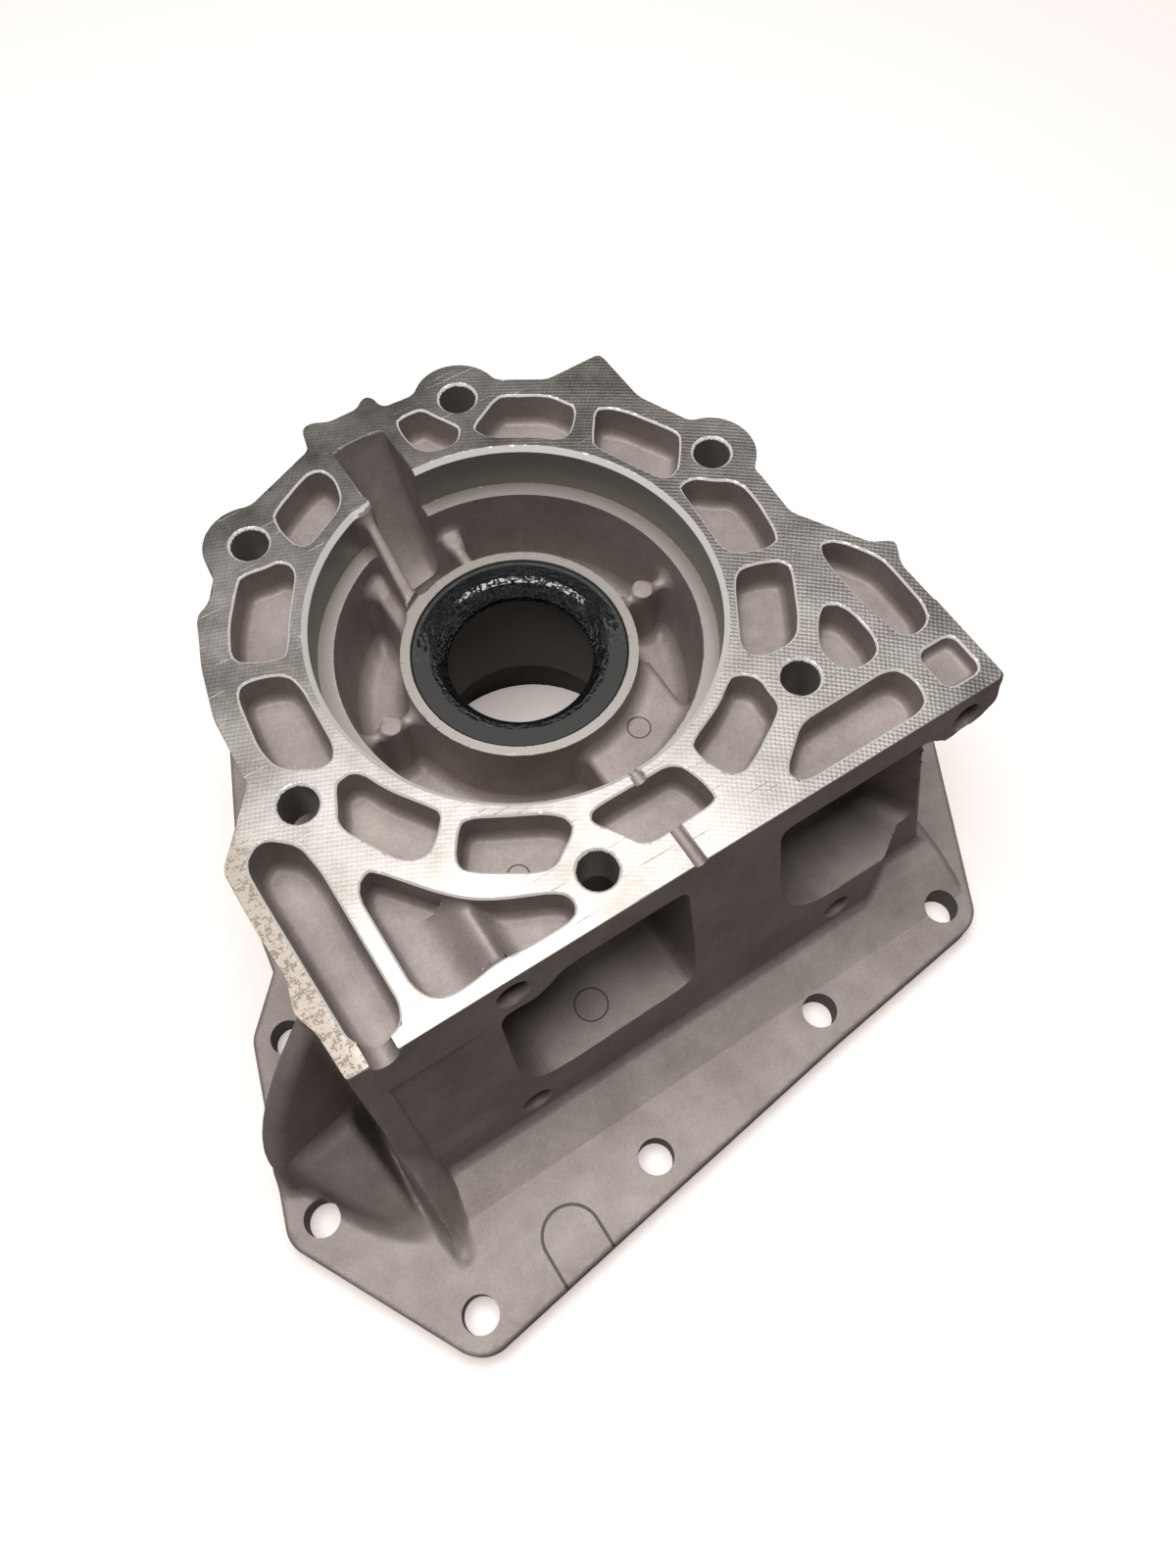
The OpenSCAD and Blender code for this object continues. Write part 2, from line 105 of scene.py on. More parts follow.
def polygon(u, v, points):
    """Distance from (u, v) to the nearest edge of a closed outline, negative inside it. For a plain
    list of points, those far from the outline's box get the distance to that box, which is quicker."""
    reach = 14
    if u.ndim == 1:
        (u0, v0), (u1, v1) = np.min(points, axis=0), np.max(points, axis=0)
        d = np.maximum(np.maximum(u0 - u, u - u1), np.maximum(v0 - v, v - v1))
        close = d < reach
        d[close] = polygon(u[close, None], v[close, None], points)[:, 0]
        return d
    near = np.full(np.broadcast_shapes(u.shape, v.shape), 1e9, np.float32)
    inside = np.zeros(near.shape, bool)
    for (ax, ay), (bx, by) in zip(points, np.roll(np.asarray(points, float), -1, axis=0).tolist()):
        ex, ey = bx - ax, by - ay
        du, dv = u - ax, v - ay
        t = np.clip((du * ex + dv * ey) / (ex * ex + ey * ey), 0, 1)
        near = np.minimum(near, (du - t * ex) ** 2 + (dv - t * ey) ** 2)
        if ey:
            inside ^= ((v < ay) != (v < by)) & (du < dv * (ex / ey))
    return np.where(inside, -1, 1).astype(np.float32) * np.sqrt(near)


def softened(points, reach, rounds=2):
    """An outline with each corner cut back by up to reach along both of its edges, a few times over."""
    p = np.asarray(points, float)
    for i in range(rounds):
        ahead, behind = np.roll(p, -1, axis=0) - p, np.roll(p, 1, axis=0) - p
        la, lb = np.linalg.norm(ahead, axis=1)[:, None], np.linalg.norm(behind, axis=1)[:, None]
        a = p + ahead / la * np.minimum(reach / 2 ** i, 0.3 * la)
        b = p + behind / lb * np.minimum(reach / 2 ** i, 0.3 * lb)
        p = np.stack([b, a], axis=1).reshape(-1, 2)
    return p.tolist()


def convex(x, y, z, points, r=0.0):
    """Distance to the hull of a few points: the largest of the distances to its face planes, with
    the edges between them rounded to about radius r."""
    p = np.asarray(points, float)
    far, seen = None, []
    for i, j, k in itertools.combinations(range(len(p)), 3):
        n = np.cross(p[j] - p[i], p[k] - p[i])
        if np.linalg.norm(n) < 1e-6:
            continue
        n /= np.linalg.norm(n)
        h = (p - p[i]) @ n
        for s in (1, -1):
            if (s * h).max() < 1e-6:
                plane = (*np.round(s * n, 5), round(float(s * (n @ p[i])), 3))
                if plane not in seen:
                    seen.append(plane)
                    d = plane[0] * x + plane[1] * y + plane[2] * z - plane[3]
                    if far is None:
                        far = d
                    else:
                        far = meet(far, d, r) if r else np.maximum(far, d)
    return far


def join(a, b, r):
    """Union of two fields: the lesser of them. Where both are less than r it is r less the
    hypotenuse of what each lacks, which makes a fillet of radius r in the corner between them."""
    u, v = np.maximum(r - a, 0), np.maximum(r - b, 0)
    return np.maximum(r, np.minimum(a, b)) - np.sqrt(u * u + v * v)


def meet(a, b, r):
    """Intersection of two fields, its edge rounded to radius r: the negative of their negatives' join."""
    return -join(-a, -b, r)


def pad_y(z):
    """Front plane of the mount pad at height z: 90 in front of the bore at the deck, and further out
    below it by the tangent of the lean."""
    return -90 - math.tan(lean) * (deck_z - z)


def bell(x, y, z, inset):
    """Bell wall: the distance to its foot's outline turns evenly into the distance to the barrel's
    circle over the height of the bell, and is moved inwards by inset."""
    k = np.clip((z - 9) / 45, 0, 1)
    low = polygon(x, y, [
        (-100, -86), (72, -86), (94, -88), (98, -50), (100, -8), (82, 42), (45, 76),
        (-12, 86), (-58, 60), (-76, 20), (-98, -30)])
    high = np.hypot(x, y) - barrel_r
    return (low + (high - low) * k) * 0.95 + inset


def deck_plate(x, y, z):
    """Deck plate, square to the bore: its outline, joined by the round bosses of three bolt holes."""
    d = polygon(x, y, softened([
        (-101.5, -90), (101.5, -90), (101, -46), (105, -38.5), (98.5, -35), (85.7, -14),
        (86.5, 3), (80.5, 31), (73, 47), (72.5, 68.3), (53, 68.3), (40, 76.5), (15, 85.2),
        (4.5, 86), (3.5, 92), (0.5, 92.5), (-2, 89.8), (-12, 89.8), (-17, 92.5), (-20.5, 91.5),
        (-22, 83.5), (-46, 74), (-66, 57), (-71, 49.5), (-76, 47), (-82, 31), (-86, 15),
        (-87, -8), (-103, -26.5), (-103, -45), (-102, -60), (-104.3, -68), (-104.3, -70.5),
        (-102.2, -76)], 1.2))
    for a, b in deck_holes[:3]:
        d = join(d, np.hypot(x - a, y - b) - 13.5, 2)
    return meet(d, 86 - z, 1.5)


def outside(x, y, z):
    """Outer body before anything is cut: the least of the fields of its forms, so their union, with
    fillets where two forms meet in a cast corner."""
    # flange with its rim round the bolt holes, bell, deck plate, and the end of the drain channel
    flange = polygon(x, y, flange_holes + [(-99, -24)]) - 10.95
    flange = np.maximum(meet(flange, z - flange_z, 1.2), -z)
    body = join(flange, np.maximum(bell(x, y, z, 0), z - 90), 5)
    body = join(body, deck_plate(x, y, z), 3)
    channel = np.maximum(np.abs(x + 8.5) - 13.5, np.maximum(y - 85.5, np.maximum(66 - z, 40 - y)))
    body = np.minimum(body, channel)
    # leaning mount pad, whose right end slants; the ramp at its foot; and the set-back right wall
    face = (pad_y(z) - y) * math.cos(lean)
    ends = polygon(x, z, [
        (-101.5, 4), (-101.5, 112), (101.5, 112), (101.5, 92.5), (96.5, 88.7), (84, 87.2),
        (78, 91.3), (80, 84), (80, 4)])
    pad = meet(np.maximum(face, y + 60), ends, 1.2)
    side = 0.537 * x - 0.843 * y + 0.034 * z - 123.3
    pad = meet(pad, np.minimum(side, 60 - z), 1)
    ramp = polygon(y, z, [(-90, 13.6), (pad_y(13.6), 13.6), (-121.5, 9.4), (-121.5, 4), (-90, 4)])
    ramp = meet(ramp, polygon(x, y, [(-97, -80), (-97, -125), (97, -125), (99.5, -80)]), 3)
    wall = convex(x, y, z, [
        (60, -88, 86), (80, -88, 86), (60, -58, 86), (80, -58, 86),
        (60, -97, 9), (93.5, -97, 9), (60, -55, 9), (93.5, -55, 9)])
    pad = np.minimum(np.minimum(pad, wall), join(pad, ramp, 2.5))
    pad = np.minimum(pad, join(wall, np.minimum(flange, ramp), 3))
    body = np.minimum(body, pad)
    # left shoulder on the flange, and the curved web that sweeps from it up to the deck
    shoulder = convex(x, y, z, [
        (-130, -82, 36), (-108, -83, 36), (-130, -72.5, 36), (-108, -72.5, 36),
        (-133.5, -80, 9.5), (-131, -86, 9.5), (-124, -93, 9.5), (-115, -111, 9.5),
        (-106, -117, 9.5), (-102.5, -72, 9.5), (-133, -75.5, 9.5)], 3)
    left = join(shoulder, flange, 5)
    c, s = math.cos(math.radians(190)), math.sin(math.radians(190))
    along = (x + 104) * c + (y + 68) * s
    across = -(x + 104) * s + (y + 68) * c
    foot, run, rise = 9, 33, 93
    t = np.clip((z - foot) / rise, 0, 1.2)
    sweep = (along - run * (1 - t * t)) / np.sqrt(1 + (2 * run / rise * t) ** 2)
    web = meet(sweep, np.maximum(-across, across - 6 - (102 - z) * 0.055), 2.8)
    web = np.maximum(np.maximum(web, -9 - along), np.maximum(4 - z, z - 102))
    left = join(left, web, 3.5)
    # fin at the pad's left end, thinning to a low prow, on its steep skirt
    front = np.clip((-105 - y) / 22, 0, 1)
    fin = polygon(y, z, [
        (-68, 103), (-90.2, 103), (pad_y(30), 30), (-104.5, 22), (-109, 16), (-117, 12),
        (-127, 9.5), (-127, 4), (-68, 4)])
    fin = meet(fin, np.abs(x + 98.3 + 2.4 * front) - 2.9 + 2.4 * front, 0.8)
    skirt = convex(x, y, z, [
        (-101, -70, 58), (-101, -86, 58), (-95.6, -70, 50), (-95.6, -86, 50), (-101, -101, 32),
        (-95.6, -101, 32), (-102.5, -70, 7), (-105, -112, 7), (-101, -128, 7), (-92.5, -114, 7),
        (-91, -98, 7)], 1.5)
    left = join(left, join(fin, skirt, 3), 4)
    return np.minimum(body, left)


def inside(x, y, z):
    """Everything cut from the outer body: the least of the fields of the rooms, bores and pockets."""
    # bowl, register bore and drain channel
    r = np.hypot(x, y)
    bowl = meet(r - bowl_r - (z - bowl_z) * 0.1, bowl_z - z, 5)
    edge = np.clip(z - (deck_z - chamfer), 0, chamfer)
    register = np.maximum(r - register_r - edge, register_z - z)
    chute = (61 + 38 * (np.maximum(y - 36, 0) / 42) ** 3 - z) * 0.6
    channel = meet(meet(np.abs(x + 8.25) - 8.55, chute, 4), np.abs(y - 52) - 27.7, 2)
    room = np.minimum(np.minimum(register, bowl), channel)
    # what stands in the bowl: hub, two side spokes, back rib, bank beside the channel, and plinth
    hub = np.maximum(r - hub_r - (hub_z - z) * 0.07, z - hub_z)
    thick = (82 - z) * 0.06
    spoke = meet(np.maximum(np.abs(np.abs(x) - 43) - 12, np.abs(y) - 1.5 - thick), z - 79.6, 1.4)
    spoke = join(spoke, meet(np.hypot(np.abs(x) - 43.8, y) - 3.2 - thick, z - 81, 0.6), 2)
    rib = meet(np.maximum(np.abs(x - 5) - 1.5 - thick, np.abs(y - 38) - 12), z - 77.5, 1.4)
    rib = join(rib, meet(np.hypot(x - 5, y - 49) - 2.6 - thick, z - 78.2, 1), 3)
    bank = polygon(y, z, [(26, 50), (26, 83.2), (57, 103), (57, 50)])
    bank = meet(bank, np.abs(x + 18.6) - 1.8 - (90 - z) * 0.03, 1.2)
    stub = meet(np.maximum(np.abs(x + 23.5) - 1.6 - thick, np.abs(y - 38) - 13), z - 79, 1.4)
    stub = join(stub, meet(np.hypot(x + 24, y - 47) - 3 - thick, z - 80, 2), 4)
    plinth = meet(np.maximum(np.abs(x - 16.5) - 16.5, np.abs(y + 40) - 20) - thick, z - 75.2, 2)
    ribs = np.minimum(np.minimum(join(spoke, plinth, 1.5), rib), join(bank, stub, 4))
    top = np.maximum(r - hub_r, z - hub_z)
    middle = np.maximum(join(hub, ribs, 4), np.minimum(z - hub_z, 36.5 - r))
    middle = np.minimum(middle, top)
    room = np.maximum(meet(room, -middle, 4), -top)
    # seal bore, through bore and pilot bore
    room = np.minimum(room, np.maximum(r - seal_r, seal_z - z))
    room = np.minimum(room, np.maximum(r - bore_r, pilot_z - 1 - z))
    room = np.minimum(room, np.maximum(r - pilot_r, z - pilot_z))
    # inside of the bell, with six ribs up to the hub's sleeve
    cavity = meet(bell(x, y, z + 10, 6), z - 46, 6)
    ribbed = np.full_like(cavity, 1e9)
    for a in np.radians(np.arange(20, 380, 60)):
        c, s = math.cos(a), math.sin(a)
        rib = np.maximum(np.abs(y * c - x * s) - 2.5, -(x * c + y * s))
        ribbed = np.minimum(ribbed, np.maximum(rib, 12 - z))
    sleeve = r - 43.5 + z * 0.126
    cavity = meet(cavity, -join(sleeve, ribbed, 3), 3)
    room = np.minimum(room, cavity)
    # two recesses in the mount pad; the right one runs out at the pad's end, behind a slanting wall
    left = polygon(x, z, softened([
        (-62.6, 87), (-62.6, 50), (-57, 37), (-50, 33.5), (-8, 35.3), (-2.5, 40), (-2.6, 60),
        (-4, 94), (-42, 94), (-50, 86.4), (-57, 87.4)], 3))
    right = polygon(x, z, softened([
        (25.8, 94), (27.6, 60), (32.5, 45), (40, 38), (48, 35), (98, 35), (98, 94)], 3))
    scoop = 0.864 * x + 0.503 * y + 0.0775 * (z - 40) - 28
    right = meet(right, scoop, 8)
    floor = 35 - z
    roof = z - np.where(y < -86, 86 - (y + 86) * 1.6, 86)
    for rim, back in ((left, -66), (right, -50)):
        room = np.minimum(room, meet(meet(rim, floor, 5), meet(y - back, roof, 4), 4))
    # sunk panel left of the recesses
    panel = np.maximum(np.abs(x + 77) - 17.5, np.abs(z - 57) - 29)
    sunk = 0.8 * np.clip((-62 - x) / 12, 0, 1) * np.clip((z - 28) / 8, 0, 1)
    room = np.minimum(room, np.maximum(panel, y - pad_y(z) - sunk))
    # bolt holes of the deck and the flange with their spot faces, and the pad's tapped holes
    for a, b in deck_holes:
        d = np.hypot(x - a, y - b)
        room = np.minimum(room, np.maximum(d - hole_r - np.clip(z - 103.2, 0, 1), 60 - z))
        room = np.minimum(room, np.maximum(d - 10, np.abs(z - 73) - 13))
    for i, (a, b) in enumerate(flange_holes):
        d = np.hypot(x - a, y - b)
        room = np.minimum(room, np.maximum(d - hole_r, np.abs(z - 5) - 7))
        if i == 0 or i > 5:
            room = np.minimum(room, meet(d - 10.5, np.abs(z - 23) - 13, 1))
    c, s = math.cos(lean), math.sin(lean)
    for a, b in pad_holes:
        out = -(y - pad_y(b)) * c + (z - b) * s
        up = (y - pad_y(b)) * s + (z - b) * c
        d = np.hypot(x - a, up)
        room = np.minimum(room, np.maximum(d - 4.4 - np.clip(out + 0.7, 0, 1), np.abs(out + 4) - 7))
    # cast pockets of the deck, with their draft and broken edges, and the ridge in the widest one
    deep = np.full_like(r, 1e9)
    for mouth in pockets:
        deep = np.minimum(deep, polygon(x, y, softened(mouth, 2.2)))
    lip = (deck_z - z) * 0.05 - np.clip(z - 103.45, 0, 0.7)
    across = x + 56
    ridge = 7.5 * np.exp(-(across / np.where(across < 0, 6.5, 3.6)) ** 2)
    floor_z = pocket_z + np.where((x < -42) & (y < -61.5), ridge, 0)
    room = np.minimum(room, meet(deep + lip, (floor_z - z) * 0.8, 2.2))
    d = polygon(x, y, softened(long_pocket, 1.5)) + lip
    room = np.minimum(room, meet(d, long_z - z, 2.5))
    d = polygon(x, y, softened(corner_pocket, 2)) + (deck_z - z) * 0.1 + lip
    room = np.minimum(room, meet(d, corner_z - z, 1.5))
    # oil grooves across the deck's front, and the one out of the long pocket
    for lo, hi in ((-93, -78), (-64, -50)):
        d = np.maximum(np.hypot(x, z - deck_z) - 2, np.abs(y - (lo + hi) / 2) - (hi - lo) / 2)
        room = np.minimum(room, d)
    d = np.maximum(np.hypot(x + 91.5, z - 103) - 4, np.abs(y + 88) - 4.5)
    return np.minimum(room, d)


def casting(x, y, z):
    """Field of the finished housing: the outer body, less the inside, between flange face and deck."""
    ends = np.maximum(z - deck_z, -z)
    return np.maximum(np.maximum(outside(x, y, z), -inside(x, y, z)), ends)


def slope(field, p):
    """Direction in which the field grows at each point: the sum of four small steps round it, each
    times the field there, made one long."""
    step = 0.01
    g = np.zeros_like(p)
    for c in ((1, -1, -1), (-1, -1, 1), (-1, 1, -1), (1, 1, 1)):
        g += field(*(p + step * np.array(c)).T)[:, None] * np.array(c)
    return g / (np.linalg.norm(g, axis=1)[:, None] + 1e-12)


def surface(field, axes):
    """Vertices and quads of the field's zero level on a grid of boxes. A box that the surface passes
    through gets one vertex, placed where the tangent planes at its edges' crossings meet best, so that
    sharp edges stay sharp. A grid edge that the surface crosses gets the quad of its four boxes."""
    pull = 0.02
    f = field(*[a.astype(np.float32).reshape(np.roll((-1, 1, 1), k)) for k, a in enumerate(axes)])
    shape = f.shape
    points, normals, rings = [], [], []
    for k in range(3):
        unit = np.eye(3, dtype=int)[k]
        a = f[tuple(slice(0, n - u) for n, u in zip(shape, unit))]
        b = f[tuple(slice(u, n) for n, u in zip(shape, unit))]
        at = np.argwhere((a < 0) != (b < 0))
        fa, fb = a[tuple(at.T)].astype(float), b[tuple(at.T)].astype(float)
        base = np.stack([axes[i][at[:, i]] for i in range(3)], axis=1)
        span = (axes[k][at[:, k] + 1] - axes[k][at[:, k]])[:, None] * unit
        # each crossing is closed in on twice, by a straight line between the ends' values
        ta, tb = np.zeros(len(at)), np.ones(len(at))
        for i in range(2):
            t = np.clip((ta * fb - tb * fa) / (fb - fa), 0.98 * ta + 0.02 * tb, 0.02 * ta + 0.98 * tb)
            v = field(*(base + t[:, None] * span).T)
            same = (v < 0) == (fa < 0)
            ta, fa = np.where(same, t, ta), np.where(same, v, fa)
            tb, fb = np.where(same, tb, t), np.where(same, fb, v)
        p = base + ((ta * fb - tb * fa) / (fb - fa))[:, None] * span
        points.append(p)
        normals.append(slope(field, p))
        u, v = np.eye(3, dtype=int)[(k + 1) % 3], np.eye(3, dtype=int)[(k + 2) % 3]
        ring = np.stack([at - u - v, at - v, at, at - u], axis=1)
        entering = a[tuple(at.T)] >= 0
        ring[entering] = ring[entering][:, ::-1]
        rings.append(ring)
    points, normals, rings = np.concatenate(points), np.concatenate(normals), np.concatenate(rings)
    used, which = np.unique(np.ravel_multi_index(rings.reshape(-1, 3).T, shape), return_inverse=True)
    which = which.ravel()
    corner = np.stack(np.unravel_index(used, shape), axis=1)
    low = np.stack([axes[i][corner[:, i]] for i in range(3)], axis=1)
    high = np.stack([axes[i][corner[:, i] + 1] for i in range(3)], axis=1)
    centre = (low + high) / 2
    q = np.repeat(points, 4, axis=0) - centre[which]
    n = np.repeat(normals, 4, axis=0)

    def total(w):
        """Sum of w over the crossings of each box."""
        return np.bincount(which, w, len(used))

    # least squares in each box: the point nearest to its tangent planes, pulled to their middle a little
    mean = np.stack([total(q[:, i]) for i in range(3)], axis=1) / total(np.ones(len(q)))[:, None]
    h = (n * q).sum(axis=1)
    aa = np.stack([
        np.stack([total(n[:, i] * n[:, j]) for j in range(3)], axis=1) for i in range(3)], axis=1)
    ab = np.stack([total(n[:, i] * h) for i in range(3)], axis=1)
    x = np.linalg.solve(aa + pull * np.eye(3), (ab + pull * mean)[..., None])[..., 0]
    return np.clip(centre + x, low, high), which.reshape(-1, 4)


# Mesh of the casting, in metres: a grid of 1 mm with finer steps at the deck, thinned to most_faces
most_faces = 190000
levels = np.concatenate([np.arange(-1.5, 103, 1.0), [103.25, 103.75, 105.5]])
vertices, quads = surface(casting, (np.arange(-144.5, 131), np.arange(-156.5, 116), levels))
mesh = bpy.data.meshes.new("casting_grid")
mesh.vertices.add(len(vertices))
mesh.vertices.foreach_set("co", (vertices / 1000).ravel())
mesh.loops.add(quads.size)
mesh.loops.foreach_set("vertex_index", quads.ravel())
mesh.polygons.add(len(quads))
mesh.polygons.foreach_set("loop_start", np.arange(0, quads.size, 4))
mesh.update(calc_edges=True)
housing = bpy.data.objects.new("casting", mesh)
scene.collection.objects.link(housing)
thin = housing.modifiers.new("thin", "DECIMATE")
thin.ratio = most_faces / (2 * len(quads))
thin.use_collapse_triangulate = True
thinned = housing.evaluated_get(bpy.context.evaluated_depsgraph_get())
housing.data = bpy.data.meshes.new_from_object(thinned)
housing.modifiers.clear()
bpy.data.meshes.remove(mesh)
mesh = housing.data
mesh.name = "casting"
mesh.shade_smooth()

# Shading follows the field, except at a corner of a face where the field turns away from the face by
# more than the angle whose cosine is same_way: that is a sharp edge, and the face keeps its direction
same_way = 0.8
at, face = np.empty(len(mesh.vertices) * 3), np.empty(len(mesh.polygons) * 3, np.int32)
mesh.vertices.foreach_get("co", at)
mesh.loops.foreach_get("vertex_index", face)
corners = (at.reshape(-1, 3) * 1000)[face.reshape(-1, 3)]
centre = corners.mean(axis=1)
facing = np.cross(corners[:, 1] - corners[:, 0], corners[:, 2] - corners[:, 0])
facing /= np.linalg.norm(facing, axis=1)[:, None] + 1e-12
samples = corners * 0.93 + centre[:, None] * 0.07
bent = slope(casting, samples.reshape(-1, 3)).reshape(-1, 3, 3)
off = (bent * facing[:, None]).sum(axis=2) < same_way
bent[off] = np.repeat(facing[:, None], 3, axis=1)[off]
mesh.normals_split_custom_set(bent.reshape(-1, 3).tolist())


def linear(code):
    """A hex sRGB colour as the linear RGBA that the shaders take: each channel is divided by 12.92
    where it is dark, and otherwise shifted, scaled and raised to the power 2.4."""
    c = [int(code[i:i + 2], 16) / 255 for i in (0, 2, 4)]
    return (*[v / 12.92 if v <= 0.04045 else ((v + 0.055) / 1.055) ** 2.4 for v in c], 1.0)


def node(tree, kind, settings=(), links=()):
    """Adds a node, sets its properties or inputs, and links its inputs to other nodes' outputs."""
    n = tree.nodes.new(kind)
    for key, value in dict(settings).items():
        if isinstance(key, str) and hasattr(n, key):
            setattr(n, key, value)
        else:
            n.inputs[key].default_value = value
    for key, source in dict(links).items():
        tree.links.new(source, n.inputs[key])
    return n


def material(name):
    """A new material, its node tree and its Principled shader."""
    m = bpy.data.materials.new(name)
    m.use_nodes = True
    return m, m.node_tree, m.node_tree.nodes["Principled BSDF"]


# Finish of the cast faces: blasted aluminium under a thin dull oxide, which looks matt and warm grey.
# A noise of scale s has grains about 1000/s mm wide. The blasting grain is drawn 0.9 mm wide, about
# twice the real grit, so that it shows; the clouds of uneven tone are 22 mm wide.
cast, tree, skin = material("aluminium_cast_blasted")
place = node(tree, "ShaderNodeTexCoord").outputs["Object"]
grain = node(tree, "ShaderNodeTexNoise", {"Scale": 1100.0, "Detail": 6.0, "Roughness": 0.75}, {
    "Vector": place}).outputs["Fac"]
cloud = node(tree, "ShaderNodeTexNoise", {"Scale": 45.0, "Detail": 8.0, "Roughness": 0.68}, {
    "Vector": place}).outputs["Fac"]
tone = node(tree, "ShaderNodeValToRGB", {}, {"Fac": cloud})
tone.color_ramp.elements[0].position, tone.color_ramp.elements[1].position = 0.32, 0.68
tone.color_ramp.elements[0].color = linear("827772")
tone.color_ramp.elements[1].color = linear("9E938D")
speck = node(tree, "ShaderNodeMapRange", {
    "From Min": 0.35, "From Max": 0.65, "To Min": 0.88, "To Max": 1.1}, {
        "Value": grain}).outputs["Result"]
tint = node(tree, "ShaderNodeMix", {"data_type": "RGBA", "blend_type": "MULTIPLY", 0: 1.0}, {
    6: tone.outputs["Color"], 7: speck}).outputs[2]
bump = node(tree, "ShaderNodeBump", {"Strength": 0.4, "Distance": 0.0002}, {"Height": grain})

# Fine lines left by the die: an arch on the flange, whose legs run on to the front, and the round
# marks of three ejector pins. They are drawn dark in the colour, as painted shade in their shallow
# grooves. Each row holds the centre's x and y, the height of the face, the radius and half of the
# line's width, in millimetres.
marks = [(-71.5, -139.2, flange_z, 8.8, 0.5), (18, -37, 75.2, 3.4, 0.25), (-39, -64, 93, 3, 0.25),
         (-33, -90, 35, 5, 0.25)]
flat = node(tree, "ShaderNodeVectorMath", {"operation": "MULTIPLY", 1: (1, 1, 0)}, {
    0: place}).outputs[0]
height = node(tree, "ShaderNodeSeparateXYZ", {}, {"Vector": place}).outputs["Z"]
line = None
for a, b, level, radius, half in marks:
    point = flat
    if level == flange_z:
        point = node(tree, "ShaderNodeVectorMath", {"operation": "MAXIMUM", 1: (-1, b / 1000, -1)}, {
            0: flat}).outputs[0]
    far = node(tree, "ShaderNodeVectorMath", {"operation": "DISTANCE", 1: (a / 1000, b / 1000, 0)}, {
        0: point}).outputs["Value"]
    ring = node(tree, "ShaderNodeMath", {"operation": "COMPARE", 1: radius / 1000, 2: half / 1000}, {
        0: far}).outputs[0]
    there = node(tree, "ShaderNodeMath", {"operation": "COMPARE", 1: level / 1000, 2: 0.0015}, {
        0: height}).outputs[0]
    ring = node(tree, "ShaderNodeMath", {"operation": "MULTIPLY"}, {0: ring, 1: there}).outputs[0]
    if line is not None:
        ring = node(tree, "ShaderNodeMath", {"operation": "MAXIMUM"}, {0: ring, 1: line}).outputs[0]
    line = ring
# painted shade of the grooves: along the lines the colour goes 90 % of the way to a dark grey
painted_groove_shade = node(tree, "ShaderNodeMath", {"operation": "MULTIPLY", 1: 0.9}, {0: line}).outputs[0]
cut = node(tree, "ShaderNodeMix", {"data_type": "RGBA", 7: linear("3A3532")}, {0: painted_groove_shade, 6: tint})
skin.inputs["Metallic"].default_value = 0.3
skin.inputs["Roughness"].default_value = 0.56
tree.links.new(cut.outputs[2], skin.inputs["Base Color"])
tree.links.new(bump.outputs["Normal"], skin.inputs["Normal"])

# Finish of the deck: face-milled aluminium with dull smears, bright where it mirrors the light. A wave
# of scale s repeats every 314/s mm: the cutter's two sweeps leave rings 1.3 mm apart, about three times
# the real feed, so that they show, and they are stronger on the right. The smears are 33 mm wide and
# the scratches 0.8 mm. Along the left edge the skin is cast, duller, and has pits 1.5 mm wide.
milled, tree, skin = material("aluminium_face_milled")
place = node(tree, "ShaderNodeTexCoord").outputs["Object"]
axis = node(tree, "ShaderNodeSeparateXYZ", {}, {"Vector": place}).outputs
sweeps = []
for spot in ((0.25, 0.42, 0.0), (-0.40, 0.30, 0.0)):
    centred = node(tree, "ShaderNodeMapping", {"Location": spot}, {"Vector": place})
    sweeps.append(node(tree, "ShaderNodeTexWave", {
        "wave_type": "RINGS", "rings_direction": "Z", "Scale": 250.0, "Distortion": 2.0, "Detail": 3.0,
        "Detail Scale": 3.0}, {"Vector": centred.outputs["Vector"]}).outputs["Fac"])
weave = node(tree, "ShaderNodeMath", {"operation": "MULTIPLY_ADD", 1: 0.8}, {
    0: sweeps[1], 2: sweeps[0]}).outputs[0]
smear = node(tree, "ShaderNodeTexNoise", {"Scale": 30.0, "Detail": 8.0, "Roughness": 0.7}, {
    "Vector": place}).outputs["Fac"]
right = node(tree, "ShaderNodeMapRange", {
    "From Min": 0.01, "From Max": 0.07, "To Min": 0.25, "To Max": 0.8}, {
        "Value": axis["X"]}).outputs["Result"]
turn = node(tree, "ShaderNodeMapping", {"Rotation": (0.0, 0.0, 0.9), "Scale": (35.0, 1200.0, 1.0)}, {
    "Vector": place})
hair = node(tree, "ShaderNodeTexNoise", {"Scale": 1.0, "Detail": 3.0}, {
    "Vector": turn.outputs["Vector"]}).outputs["Fac"]
scratch = node(tree, "ShaderNodeMapRange", {"From Min": 0.66, "From Max": 0.72, "To Max": 1.2}, {
    "Value": hair}).outputs["Result"]
grit = node(tree, "ShaderNodeTexNoise", {"Scale": 650.0, "Detail": 4.0, "Roughness": 0.7}, {
    "Vector": place}).outputs["Fac"]
pits = node(tree, "ShaderNodeMapRange", {"From Min": 0.46, "From Max": 0.38}, {
    "Value": grit}).outputs["Result"]
edge = node(tree, "ShaderNodeMapRange", {"From Min": -0.092, "From Max": -0.099}, {
    "Value": axis["X"]}).outputs["Result"]
pitted = node(tree, "ShaderNodeMath", {"operation": "MULTIPLY"}, {0: edge, 1: pits}).outputs[0]
lines = node(tree, "ShaderNodeMath", {"operation": "MULTIPLY_ADD"}, {
    0: weave, 1: right, 2: scratch}).outputs[0]
relief = node(tree, "ShaderNodeMath", {"operation": "MULTIPLY_ADD", 1: -4.0}, {
    0: pitted, 2: lines}).outputs[0]
